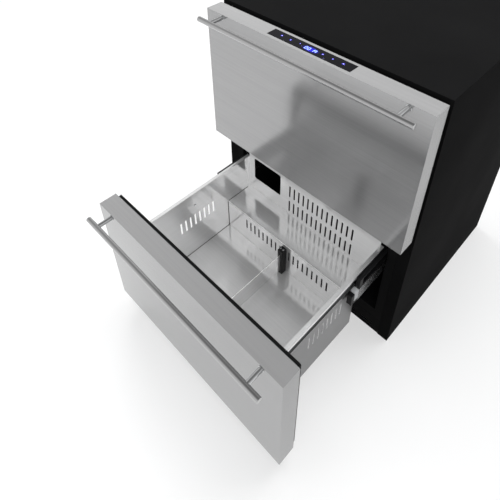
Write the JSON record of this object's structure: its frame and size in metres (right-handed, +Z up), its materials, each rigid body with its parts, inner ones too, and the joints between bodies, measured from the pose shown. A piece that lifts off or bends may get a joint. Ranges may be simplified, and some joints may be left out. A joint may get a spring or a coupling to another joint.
{
  "type": "undercounter drawer refrigerator",
  "caption": "Undercounter refrigerator with stainless drawers one above the other, bar handles, a touch strip on the top edge and a stepped lower tub with a sliding divider.",
  "frame": {"origin": "centre of the footprint of all pieces on the floor, with the lower drawer pulled out 370 mm", "axes": "+X to the right as seen by someone who faces the fronts, +Y from the fronts to the back, +Z up"},
  "size_m": [0.6, 1.0204, 0.812],
  "materials": {
    "cabinet_paint": "satin black powder coat",
    "frame_paint": "matt black powder coat",
    "liner": "dark grey moulded plastic",
    "foam": "rigid foam",
    "zinc": "zinc-coated sheet",
    "black_plastic": "matt black",
    "compressor_black": "black enamel",
    "rubber": "matt",
    "fins": "mill finish",
    "copper": "bare copper",
    "pale_plastic": "pale grey",
    "front_steel": "brushed across",
    "tub_steel": "bright brushed",
    "handle_steel": "brushed along",
    "post_steel": "polished",
    "inner_panel": "dark grey",
    "screws": "bright",
    "glass": "gloss black",
    "slide_steel": "bright zinc"
  },
  "bodies": {
    "cabinet": {"cabinet_shell": "cabinet_paint", "front_frame": "frame_paint", "mullion_bar": "frame_paint", "kick_grille": "frame_paint", "inner_liner": "liner", "foam_insulation": "foam", "machine_bay_panel": "zinc", "base_pan": "zinc", "back_panel": "zinc", "rear_grille": "frame_paint", "compressor": "compressor_black", "compressor_grommets": "rubber", "condenser": "fins", "condenser_fan_shroud": "black_plastic", "condenser_fan_motor": "black_plastic", "evaporator": "fins", "evaporator_cover": "liner", "evaporator_fan_motor": "black_plastic", "control_box": "pale_plastic", "power_gland": "black_plastic", "refrigerant_lines": "copper", "cabinet_rails": "slide_steel", "cabinet_screws": "screws"},
    "upper_drawer": {"upper_front_skin": "front_steel", "upper_front_core": "foam", "upper_front_panel": "inner_panel", "upper_gasket": "rubber", "upper_handle_bar": "handle_steel", "upper_handle_posts": "post_steel", "upper_tub": "tub_steel", "upper_rear_panel": "tub_steel", "upper_slide_members": "slide_steel", "upper_screws": "screws", "control_glass": "glass", "control_housing": "black_plastic"},
    "lower_drawer": {"lower_front_skin": "front_steel", "lower_front_core": "foam", "lower_front_panel": "inner_panel", "lower_gasket": "rubber", "lower_handle_bar": "handle_steel", "lower_handle_posts": "post_steel", "lower_tub": "tub_steel", "lower_rear_panel": "tub_steel", "lower_slide_members": "slide_steel", "lower_screws": "screws", "lower_step": "tub_steel"},
    "upper_middles": {"upper_slide_middles": "slide_steel", "upper_end_blocks": "pale_plastic", "upper_end_caps": "black_plastic"},
    "lower_middles": {"lower_slide_middles": "slide_steel", "lower_end_blocks": "pale_plastic", "lower_end_caps": "black_plastic"},
    "divider": {"divider_plate": "tub_steel", "divider_clips": "black_plastic"},
    "condenser_rotor": {"condenser_fan": "black_plastic"},
    "evaporator_rotor": {"evaporator_fan": "black_plastic"},
    "front_left_foot": {"foot_front_left": "black_plastic"},
    "front_right_foot": {"foot_front_right": "black_plastic"},
    "rear_left_foot": {"foot_rear_left": "black_plastic"},
    "rear_right_foot": {"foot_rear_right": "black_plastic"}
  },
  "joints": [
    {"name": "upper_drawer_slide", "type": "slide", "parent": "cabinet", "child": "upper_drawer", "axis": [0, -1, 0], "range_m": [0, 0.4]},
    {"name": "lower_drawer_slide", "type": "slide", "parent": "cabinet", "child": "lower_drawer", "axis": [0, -1, 0], "range_m": [-0.37, 0.03]},
    {"name": "upper_middle_slide", "type": "slide", "parent": "cabinet", "child": "upper_middles", "axis": [0, -1, 0], "range_m": [0, 0.2]},
    {"name": "lower_middle_slide", "type": "slide", "parent": "cabinet", "child": "lower_middles", "axis": [0, -1, 0], "range_m": [-0.185, 0.015]},
    {"name": "divider_slide", "type": "slide", "parent": "lower_drawer", "child": "divider", "axis": [1, 0, 0], "range_m": [-0.2, 0.2]},
    {"name": "condenser_fan_spin", "type": "hinge", "parent": "cabinet", "child": "condenser_rotor", "pos_m": [-0.066, 0.39617, 0.0785], "axis": [1, 0, 0], "continuous": true},
    {"name": "evaporator_fan_spin", "type": "hinge", "parent": "cabinet", "child": "evaporator_rotor", "pos_m": [0, 0.40918, 0.593], "axis": [0, 1, 0], "continuous": true},
    {"name": "front_left_foot_thread", "type": "slide", "parent": "cabinet", "child": "front_left_foot", "axis": [0, 0, -1], "range_m": [0, 0.02]},
    {"name": "front_right_foot_thread", "type": "slide", "parent": "cabinet", "child": "front_right_foot", "axis": [0, 0, -1], "range_m": [0, 0.02]},
    {"name": "rear_left_foot_thread", "type": "slide", "parent": "cabinet", "child": "rear_left_foot", "axis": [0, 0, -1], "range_m": [0, 0.02]},
    {"name": "rear_right_foot_thread", "type": "slide", "parent": "cabinet", "child": "rear_right_foot", "axis": [0, 0, -1], "range_m": [0, 0.02]}
  ],
  "couplings": [
    {"joint": "upper_middle_slide", "follows": "upper_drawer_slide", "ratio": 0.5},
    {"joint": "lower_middle_slide", "follows": "lower_drawer_slide", "ratio": 0.5}
  ]
}
